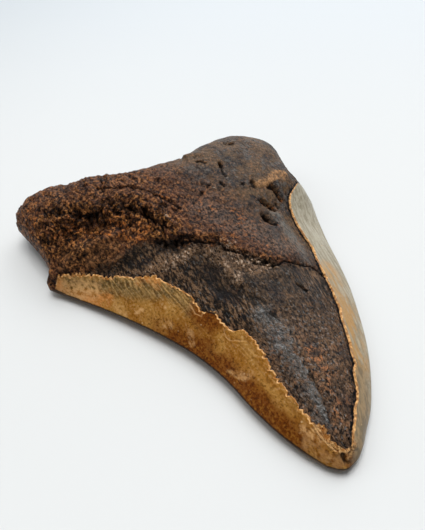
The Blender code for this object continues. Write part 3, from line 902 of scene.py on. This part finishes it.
    Zone.CHIP: (
        (1.2, 0.25, 1.0, 0.5, 0.5, (-1.3, -52.0), (-0.7, -54.8), (-0.1, -56.7), (0.7, -58.3)),
        (1.6, 0.0, 0.7, 0.6, 0.8, (0.6, -58.6), (2.2, -60.3), (4.2, -59.2)),
    ),
    Zone.LINE: (
        (0.26, 0.1, 1.0, 0.1, 0.5, (-2.2, -49.6), (-1.8, -51.2), (-1.7, -53.3), (-1.4, -55.4), (-0.8, -57.0),
         (-0.1, -58.5)),
        (0.35, -0.1, 0.6, 0.3, 0.5, (0.6, -59.1), (1.9, -59.7), (3.2, -59.2)),
        (0.2, 0.1, 0.35, 0.15, 0.6, (-13.8, -7.0), (-13.6, -10.2), (-12.4, -11.8), (-11.5, -11.3)),
        (0.2, 0.1, 0.35, 0.15, 0.6, (-8.9, -18.3), (-9.3, -20.6), (-8.8, -22.1), (-5.8, -24.8)),
    ),
    None: (
        (2.6, -0.5, 1.0, 0.4, 0.9, (9.6, 49.5), (11.4, 46.4), (13.6, 44.4)),
        (3.2, -0.4, 1.0, 0.6, 0.95, (2.6, -1.2), (5.6, -4.6), (8.4, -7.6), (12.0, -10.0), (16.0, -11.4)),
    ),
}

PORE_FIELDS = (
    PoreField(((-40.0, 40.0), (-33.0, 35.5), (-30.0, 32.0), (-23.0, 32.0), (-16.7, 28.5)),
     2.6, 70, 0.9, 0.62, 0.6, 0.95, 11),
    PoreField(((-39.0, 32.5), (-33.0, 30.0), (-26.0, 26.0), (-20.0, 23.0)), 6.0, 80, 1.0, 0.5, 0.45, 0.7, 12),
    PoreField(((-15.5, 26.5), (-13.2, 21.3), (-10.7, 17.2)), 2.0, 34, 1.4, 0.5, 0.7, 1.0, 13),
    PoreField(((-44.0, 38.0), (-42.0, 30.0), (-38.0, 24.0)), 5.0, 55, 1.0, 0.5, 0.45, 0.7, 14),
    PoreField(((-14.9, 14.5), (-11.5, 11.0), (-8.0, 10.0)), 2.4, 26, 0.8, 0.5, 0.45, 0.75, 15),
    PoreField(((-6.0, 9.0), (0.5, 5.2), (5.0, -1.3), (12.0, -7.5)), 2.4, 50, 0.7, 0.42, 0.35, 0.9, 16),
    PoreField(((-42.0, 46.0), (-20.0, 38.0), (10.0, 32.0)), 14.0, 110, 0.9, 0.42, 0.3, 0.8, 17),
)


@dataclass
class Tooth:
    """The whole tooth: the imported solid, made fine and carved with its breaks, pits and cracks."""

    axis_offset: float = 1.5
    near_break: BreakLine = BreakLine((
        (-59.0, 2.0), (-58.3, 1.5), (-57.0, 0.5), (-55.0, 0.4), (-52.7, 0.3), (-51.1, -1.6), (-47.4, -2.2),
        (-44.4, -2.9), (-41.7, -3.2), (-34.2, -3.7), (-30.7, -3.2), (-26.1, -3.6), (-23.3, -4.4), (-21.7, -4.9),
        (-20.6, -7.3), (-18.7, -8.0), (-15.7, -8.6), (-13.1, -8.9), (-12.0, -9.8), (-11.1, -11.8), (-7.9, -12.2),
        (-5.4, -12.6), (-1.2, -14.7), (3.3, -17.8), (5.8, -18.6), (8.2, -22.7), (9.6, -25.1), (12.2, -28.2),
        (13.4, -30.3), (16.7, -34.6), (19.2, -38.1), (20.6, -41.2), (22.2, -43.9)),
        ((-45.4, 21.2), (-46.8, 20.2), (-52.0, 17.5)), -0.95, 1.35, 3)
    far_break: BreakLine = BreakLine((
        (-59.0, 4.3), (-56.7, 6.1), (-55.1, 7.8), (-51.9, 10.2), (-50.1, 12.2), (-46.9, 14.3), (-43.5, 15.7),
        (-42.3, 17.3), (-39.0, 18.7), (-34.6, 20.6), (-30.6, 22.1), (-27.9, 22.8), (-25.8, 24.5), (-23.2, 24.9),
        (-18.0, 26.4), (-12.6, 27.8), (-6.6, 29.2), (-1.2, 31.5), (4.4, 31.8), (8.9, 32.1), (15.5, 33.2),
        (18.2, 34.4), (21.4, 36.7), (24.7, 40.8)),
        ((43.0, 26.6), (46.0, 28.0), (54.0, 30.0)), 0.3, 1.1, 5)
    ledge: Path = (
        (-34.0, 17.5), (-27.0, 15.5), (-21.0, 17.5), (-12.6, 13.4), (-6.0, 9.5), (0.4, 4.7), (4.9, -1.3),
        (13.6, -7.2), (22.2, -8.4), (27.8, -11.9), (34.0, -15.0))
    break_step: float = 0.8
    break_wall: float = 0.25
    break_tip_y: float = -58.0
    hollow: Path = ((-40.0, 36.5), (-32.0, 32.0), (-26.0, 29.5), (-19.5, 28.5), (-13.5, 22.5), (-11.5, 17.5))
    nudges: tuple = (
        ((7.6, -59.3), 4.5, (0.34, -0.16)), ((3.2, -62.9), 3.6, (-0.1, 0.45)),
        ((11.5, -54.5), 4.0, (-0.12, 0.05)))
    near_top_y: float = 22.4
    far_top_y: float = 24.0
    root_fade: float = 9.0
    run_out: float = 4.0
    dentine_edge: float = 2.0
    cad_ledge: Path = (
        (-21.0, 20.0), (-12.6, 13.4), (-6.0, 9.5), (0.4, 4.7), (4.9, -1.3), (13.6, -7.2), (22.2, -8.4),
        (27.8, -11.9))
    left_end: Path = ((-44.0, 38.0), (-41.0, 30.0), (-37.0, 24.0))
    ledge_pores: Path = ((-15.0, 15.0), (-10.0, 11.0), (0.0, 6.0), (6.0, -2.0), (13.0, -7.0))
    fine_by_hollow: float = 3.1
    fine_by_ledge: float = 1.4
    fine_by_break: float = 0.6
    fine_by_mark: float = 0.25
    smooth_off_rim: float = 0.7
    smooth_rounds: int = 24
    name: str = "tooth_skin"
    rim: Array = field(init=False, repr=False)

    @staticmethod
    def marks() -> list[Mark]:
        """Lists the cracks, pits, ridges and stains of the upper face.

        Returns:
            The marks, the two one-sided ones of the fold first.
        """
        made = [
            Mark(FOLD, 4.2, -0.55, None, 1.0, 0.5, 0.95, side=-1),
            # Painted sheen along the fold's raised flank.
            Mark(FOLD, 4.6, 0.0, Zone.SLATE_AND_SHEEN, 0.88, 1.2, 0.95, side=-1),
        ]
        for zone, rows in MARKS.items():
            for width, depth, strength, ragged, soft, *way in rows:
                made.append(Mark(tuple(way), width, depth, zone, strength, ragged, soft))
        return made

    def build(self) -> bpy.types.Object:
        """Builds the finished tooth.

        Returns:
            The tooth's object.
        """
        tooth = self._copy_of_solid()
        self._fill_break(tooth)
        self._refine(tooth)
        self._smooth(tooth)
        self._carve(tooth)
        bpy.ops.object.shade_smooth()
        return tooth

    def _copy_of_solid(self) -> bpy.types.Object:
        """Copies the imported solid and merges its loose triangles.

        Returns:
            The copy, selected and active.
        """
        bpy.ops.object.select_all(action="DESELECT")
        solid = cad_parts["tooth"]
        bpy.context.view_layer.objects.active = solid
        solid.select_set(True)
        bpy.ops.object.duplicate()
        tooth = bpy.context.view_layer.objects.active
        tooth.name = self.name
        tooth.data.name = self.name
        tooth.data.materials.clear()
        bpy.ops.object.mode_set(mode="EDIT")
        bpy.ops.mesh.select_all(action="SELECT")
        bpy.ops.mesh.remove_doubles(threshold=1e-6)
        bpy.ops.mesh.customdata_custom_splitnormals_clear()
        bpy.ops.object.mode_set(mode="OBJECT")
        return tooth

    @staticmethod
    def _read(tooth: bpy.types.Object, name: str) -> Array:
        """Reads the mesh's points or their normals.

        Args:
            tooth: The tooth.
            name: "co" for the points, "normal" for the normals.

        Returns:
            One row for each point.
        """
        values = np.empty(len(tooth.data.vertices) * 3, np.float32)
        tooth.data.vertices.foreach_get(name, values)
        return values.reshape(-1, 3).astype(float)

    @staticmethod
    def _place(tooth: bpy.types.Object, points: Array) -> None:
        """Writes the mesh's points back."""
        tooth.data.vertices.foreach_set("co", points.astype(np.float32).ravel())
        tooth.data.update()

    def _plan(self, points: Array) -> tuple[Array, Array]:
        """Points seen from above, in millimetres from the tooth's own axis."""
        return points[:, 0] / MM - self.axis_offset, points[:, 1] / MM

    def _loss(self, x: Array, y: Array, near_x: Array, far_x: Array) -> Array:
        """How deep the lost enamel's patch lies between the two breaks.

        Args:
            x: The points' x.
            y: The points' y.
            near_x: The near break's x at each point's y.
            far_x: The far break's x at each point's y.

        Returns:
            The depths in millimetres.
        """
        ledge_off = off_path(self.cad_ledge, x, y)
        near = np.where(y < self.near_top_y, np.abs(x - near_x), self.root_fade)
        far = np.abs(x - far_x)
        on_dentine = ramp(self.dentine_edge, -self.dentine_edge, ledge_off)
        by_a_break = ramp(self.root_fade, 0.0, np.minimum(near, far))
        below_top = ramp(self.far_top_y, self.far_top_y - self.run_out, y)
        return self.break_step * np.maximum(on_dentine, by_a_break) * below_top

    def _fill_break(self, tooth: bpy.types.Object) -> None:
        """Raises the patch back to the enamel's level, so the whole face can be smoothed as one.

        Args:
            tooth: The tooth.
        """
        points, up = self._read(tooth, "co"), self._read(tooth, "normal")[:, 2] > 0.02
        x, y = self._plan(points)
        near_x, far_x = table(self.near_break.points, y), table(self.far_break.points, y)
        slack = self.break_wall * 0.5
        inside = (x > near_x + slack) & (x < far_x - slack) & (y > self.break_tip_y + 0.05) & up
        points[:, 2] += np.where(inside, self._loss(x, y, near_x, far_x), 0.0) * MM
        self._place(tooth, points)

    def _select_faces(self, tooth: bpy.types.Object, chosen: Array) -> None:
        """Selects the chosen faces and opens edit mode.

        Args:
            tooth: The tooth.
            chosen: True for each face to select.
        """
        bpy.context.tool_settings.mesh_select_mode = (False, False, True)
        tooth.data.polygons.foreach_set("select", chosen)
        bpy.ops.object.mode_set(mode="EDIT")

    @staticmethod
    def _leave_edit_mode() -> None:
        """Deselects all and goes back to object mode."""
        bpy.ops.mesh.select_all(action="DESELECT")
        bpy.ops.object.mode_set(mode="OBJECT")

    def _faces(self, tooth: bpy.types.Object) -> tuple[Array, Array, Array]:
        """Measures the faces.

        Args:
            tooth: The tooth.

        Returns:
            Their middles' x and y in plan and how far their normals point up.
        """
        mesh = tooth.data
        middles, normals = (np.empty(len(mesh.polygons) * 3, np.float32) for _ in range(2))
        mesh.polygons.foreach_get("center", middles)
        mesh.polygons.foreach_get("normal", normals)
        x, y = self._plan(middles.reshape(-1, 3).astype(float))
        return x, y, normals.reshape(-1, 3)[:, 2]

    def _refine(self, tooth: bpy.types.Object) -> None:
        """Cuts the upper face into fine faces, finer still beside the breaks and the cracks.

        Args:
            tooth: The tooth.
        """
        rise = self._faces(tooth)[2]
        self._select_faces(tooth, rise > -0.15)
        bpy.ops.mesh.subdivide(number_cuts=3)
        self._leave_edit_mode()
        x, y, rise = self._faces(tooth)
        hollow = off_path(self.hollow, x, y)
        beside = np.abs(hollow) < self.fine_by_hollow
        beside |= np.abs(off_path(self.ledge[3:8], x, y)) < self.fine_by_ledge
        for line in (self.near_break, self.far_break):
            path = tuple((px, py) for py, px in line.points) + line.end
            beside |= np.abs(off_path(path, x, y)) < self.fine_by_break
        for mark in self.marks():
            if mark.is_fine():
                beside |= np.abs(off_path(mark.path, x, y)) < mark.width + self.fine_by_mark
        self._select_faces(tooth, beside & (rise > 0.1))
        bpy.ops.mesh.subdivide(number_cuts=1)
        self._leave_edit_mode()

    def _smooth(self, tooth: bpy.types.Object) -> None:
        """Draws the tip's outline in to the photographed one and smooths the facets, all but the rim.

        Args:
            tooth: The tooth.
        """
        points = self._read(tooth, "co")
        x, y = self._plan(points)
        for (px, py), reach, (dx, dy) in self.nudges:
            share = ramp(reach, 0.0, np.hypot(x - px, y - py))
            points[:, :2] += share[:, None] * (dx * MM, dy * MM)
        low, high = self._read(tooth, "co").min(axis=0), self._read(tooth, "co").max(axis=0)
        self._place(tooth, np.clip(points, low, high))
        points, normals = self._read(tooth, "co"), self._read(tooth, "normal")
        self.rim = self._rim_distance(points, normals)
        chosen = (normals[:, 2] > 0.1) & (self.rim > self.smooth_off_rim)
        bpy.context.tool_settings.mesh_select_mode = (True, False, False)
        tooth.data.vertices.foreach_set("select", chosen)
        tooth.data.edges.foreach_set("select", np.zeros(len(tooth.data.edges), bool))
        tooth.data.polygons.foreach_set("select", np.zeros(len(tooth.data.polygons), bool))
        bpy.ops.object.mode_set(mode="EDIT")
        bpy.ops.mesh.vertices_smooth(factor=0.5, repeat=self.smooth_rounds)
        self._leave_edit_mode()

    @staticmethod
    def _rim_distance(points: Array, normals: Array) -> Array:
        """Measures the distance to the rim, where the surface turns from up to down.

        Args:
            points: The points.
            normals: Their normals.

        Returns:
            The distances in millimetres.
        """
        rim = np.flatnonzero(np.abs(normals[:, 2]) < 0.3)
        tree = kdtree.KDTree(len(rim))
        for k in rim:
            tree.insert(points[k], int(k))
        tree.balance()
        return np.array([tree.find(p)[2] for p in points.tolist()]) / MM

    def _off_break(self, x: Array, y: Array) -> Array:
        """Measures the distance to the jagged breaks.

        Args:
            x: The points' x.
            y: The points' y.

        Returns:
            The distances, positive on the enamel.
        """
        near, far = self.near_break.jagged(), self.far_break.jagged()
        bared = near[::-1] + far + ((60.0, 80.0), (-60.0, 80.0))
        off = np.minimum(np.abs(off_path(near[::6], x, y)), np.abs(off_path(far[::6], x, y)))
        close = off < 4.0
        cx, cy = x[close], y[close]
        off[close] = np.minimum(np.abs(off_path(near, cx, cy)), np.abs(off_path(far, cx, cy)))
        return np.where(within(bared, x, y), -off, off)

    def _carve(self, tooth: bpy.types.Object) -> None:
        """Cuts the jagged breaks again, carves the relief and paints the zones.

        Args:
            tooth: The tooth.
        """
        points, normals = self._read(tooth, "co"), self._read(tooth, "normal")
        up = normals[:, 2] > 0.0
        x, y = self._plan(points)
        z = points[:, 2] / MM
        near_x, far_x = table(self.near_break.points, y), table(self.far_break.points, y)
        off_break = self._off_break(x, y)
        bared = (off_break < 0.0) & up
        loss = self._loss(x, y, near_x, far_x) * ramp(0.0, -self.break_wall, off_break)
        ledge_off = off_path(self.ledge, x, y)
        paint = {zone: np.zeros(x.shape) for zone in Zone}
        drop = np.where(bared, loss, 0.0)
        wander = [clouds(x + shift, y, z, (1.6, 2.2), 3) for shift in (0.0, 70.0)]
        on_root = ramp(-2.0, 2.0, ledge_off) * (off_break < -0.2)
        on_left = ramp(6.0, -14.0, x)
        grain = clouds(x, y, z, (1.4, 2.2), 4)
        lumps = clouds(x + 31.0, y, z, (4.2, 5.6), 3)
        smooth = ramp(-5.0, 18.0, x + 0.5 * (y - 30.0)) * on_root
        paint[Zone.SMOOTH] = smooth
        coarse = (0.34 - 0.24 * smooth + 0.4 * ramp(8.0, 3.0, np.abs(off_path(self.hollow, x, y)))) * on_root
        drop += up * (coarse * -grain + (0.16 + 0.3 * on_left) * on_root * -lumps)
        drop += bared * (1 - on_root) * (0.08 * -grain + 0.2 * -lumps)
        hollow = off_path(self.hollow, x, y)
        left = off_path(self.left_end, x, y)
        by_ledge = off_path(self.ledge_pores, x, y)
        porous = np.maximum(ramp(9.0, 2.0, np.abs(hollow)), 0.75 * ramp(6.0, 2.0, np.abs(left)))
        porous = np.maximum(porous, 0.6 * ramp(3.0, 0.5, np.abs(by_ledge)))
        paint[Zone.POROUS] = np.clip(np.maximum(porous, 0.25 * on_left) + 0.25 * wander[0], 0.0, 1.0) * on_root
        pits = ramp(-0.12, -0.34, clouds(x + 11.0, y, z, (1.2, 1.9), 3)) * paint[Zone.POROUS]
        drop += 0.5 * pits
        paint[Zone.PORE] = 0.6 * pits
        on_near = up & (off_break > 0.0) & (x < near_x + 2.0)
        stain = ramp(8.5, 2.0, self.rim) * ramp(6.0, -18.0, y) * ramp(-62.0, -50.0, y)
        paint[Zone.DARK] = np.where(on_near, stain, 0.0)
        pores = [pore for band in PORE_FIELDS for pore in band.marks()]
        for mark in self.marks() + pores:
            self._cut(mark, x, y, up, off_break, wander, drop, paint)
        rim_guard = np.maximum(ramp(0.1, 1.2, self.rim), 0.6 * ramp(26.0, 36.0, y))
        low, high = points.min(axis=0), points.max(axis=0)
        points -= normals * (drop * rim_guard * MM)[:, None]
        points = np.clip(points, low, high)
        self._place(tooth, points)
        under_top = 24.0 + 8.0 * (1 - (x / 45.0) ** 2)
        paint[Zone.BREAK] = np.where(up, off_break, under_top - y)
        paint[Zone.ROOT] = np.where(up, ledge_off, 5.0)
        paint[Zone.RIM] = self.rim
        across = x - 0.5 * (near_x + far_x)
        paint[Zone.FAR] = np.where(up, ramp(-2.0, 2.0, across), 0.1 + 0.7 * ramp(-16.0, 20.0, across))
        blotch = ramp(-0.1, 0.5, clouds(x, y, z, (16.0, 24.0), 4)) * ramp(3.0, 12.0, self.rim)
        paint[Zone.DARK] = np.where(up, paint[Zone.DARK], 0.6 * blotch + 0.5 * stain)
        paint[Zone.UNDER] = np.where(up, 0.0, 1.0)
        for zone, value in paint.items():
            layer = tooth.data.attributes.new(zone.value, "FLOAT", "POINT")
            layer.data.foreach_set("value", value.astype(np.float32))

    @staticmethod
    def _cut(
        mark: Mark, x: Array, y: Array, up: Array, off_break: Array,
        wander: list[Array], drop: Array, paint: dict[Zone, Array],
    ) -> None:
        """Sinks and paints one mark.

        Args:
            mark: The mark.
            x: The points' x.
            y: The points' y.
            up: Which points are on the upper face.
            off_break: The distance to the breaks, positive on the enamel.
            wander: Two noises that bend the mark's edge.
            drop: How far each point sinks, which the mark adds to.
            paint: The painted zones, which the mark adds to.
        """
        reach = mark.width + mark.ragged
        xs, ys = zip(*mark.path)
        near = up & (x > min(xs) - reach) & (x < max(xs) + reach)
        near &= (y > min(ys) - reach) & (y < max(ys) + reach)
        if not near.any():
            return
        share = mark.share(x[near] + mark.ragged * wander[0][near], y[near] + mark.ragged * wander[1][near])
        middle = np.argmin(np.hypot(x - np.mean(xs), y - np.mean(ys)))
        same = (off_break[near] > 0) == (off_break[middle] > 0)
        share = share * same
        drop[near] += share * mark.depth
        if mark.paint is not None:
            layer = paint[mark.paint]
            layer[near] = np.maximum(layer[near], share * mark.strength)


@dataclass(frozen=True)
class Studio:
    """The white table, the soft light and the camera of the photograph.

    The eye is in millimetres; window and behind are ways from the tooth towards the sky's bright and
    dark sides; a lamp has its name, place in metres, size in metres and power in watts.
    """

    eye: Spot = (-48.2, -95.9, 119.1)
    bearing: float = 25.76
    fall: float = 44.5
    lens: float = 35.32
    shift: float = 0.0009
    horizon: Colour = (0.34, 0.39, 0.43)
    zenith: Colour = (0.20, 0.20, 0.21)
    daylight: Colour = (1.7, 1.75, 1.8)
    shade: Colour = (0.13, 0.12, 0.11)
    window: Spot = (0.52, 0.60, 0.61)
    behind: Spot = (-0.43, -0.86, 0.27)
    # Painted shade: the table's colour darkens and cools from the near colour to the far one.
    table_near: Colour = (0.66, 0.668, 0.66)
    table_far: Colour = (0.54, 0.575, 0.60)
    table_fade: tuple[float, float] = (20.0, 330.0)
    table_size: float = 6.0
    table_roughness: float = 0.07
    table_glint: float = 0.14
    lamps: tuple = (
        ("window", (2.3, 2.5, 3.3), 2.6, 36.0), ("ceiling", (0.1, 1.1, 5.1), 3.0, 200.0),
        ("fill", (-2.8, 2.6, 3.0), 2.6, 40.0))

    def build(self) -> None:
        """Builds the table, the lights and the camera."""
        self._table()
        self._lights()
        self._camera()

    def _table(self) -> None:
        """Lays a glossy white table under the tooth, with painted shade that makes it a little darker and bluer
        further away.
        """
        bpy.ops.object.select_all(action="DESELECT")
        bpy.ops.mesh.primitive_plane_add(size=self.table_size, location=(0.0, 0.0, 0.0))
        floor = bpy.context.view_layer.objects.active
        floor.name = "table_top"
        material = bpy.data.materials.new("white table")
        material.use_nodes = True
        shader = material.node_tree.nodes["Principled BSDF"]
        graph = Graph(material.node_tree)
        lean = math.radians(self.bearing)
        far = graph.dot(graph.place, (math.sin(lean), math.cos(lean), 0.0)).between(*self.table_fade)
        colour = graph.blend(far, self.table_near, self.table_far)
        material.node_tree.links.new(colour, shader.inputs["Base Color"])
        shader.inputs["Roughness"].default_value = self.table_roughness
        shader.inputs["Specular IOR Level"].default_value = self.table_glint
        floor.data.materials.append(material)

    def _lights(self) -> None:
        """Hangs three large soft lamps behind the tooth, in a pale room that is brighter by the window."""
        world = bpy.data.worlds.new("pale room")
        world.use_nodes = True
        sky = Graph(world.node_tree)
        way = sky.make("ShaderNodeTexCoord", {}, {}).outputs["Generated"]
        glow = sky.layered(
            self.horizon,
            (sky.part(way, 2).between(0.3, 0.95), self.zenith),
            (sky.dot(way, self.window).between(0.7, 0.97), self.daylight),
            (sky.dot(way, self.behind).between(0.35, 0.85), self.shade),
        )
        background = world.node_tree.nodes["Background"]
        world.node_tree.links.new(glow, background.inputs["Color"])
        bpy.context.scene.world = world
        for name, place, size, power in self.lamps:
            lamp = bpy.data.lights.new(name, "AREA")
            lamp.shape = "SQUARE"
            lamp.size = size
            lamp.energy = power
            holder = bpy.data.objects.new(name, lamp)
            holder.visible_glossy = False
            holder.location = place
            holder.rotation_euler = (-Vector(place)).to_track_quat("-Z", "Y").to_euler()
            bpy.context.scene.collection.objects.link(holder)

    def _camera(self) -> None:
        """Sets the camera where the photograph was taken from."""
        lens = bpy.data.cameras.new("camera")
        lens.lens = self.lens
        lens.sensor_width = 36.0
        lens.shift_x = self.shift
        lens.clip_start = 0.005
        holder = bpy.data.objects.new("camera", lens)
        holder.location = Vector(self.eye) * MM
        holder.rotation_euler = (math.radians(90.0 - self.fall), 0.0, math.radians(-self.bearing))
        bpy.context.scene.collection.objects.link(holder)
        bpy.context.scene.camera = holder


def main() -> None:
    """Builds the studio and the tooth and reports what was made."""
    logging.basicConfig(level=logging.INFO, format="%(message)s")
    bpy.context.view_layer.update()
    Studio().build()
    bpy.context.scene.view_settings.view_transform = "Standard"
    tooth = Tooth().build()
    tooth.data.materials.append(Skin().material())
    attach(tooth, "root")
    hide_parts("tooth")
    tooth.data.calc_loop_triangles()
    LOG.info("%s: %d triangles", tooth.name, len(tooth.data.loop_triangles))


if __name__ == "__main__":
    main()
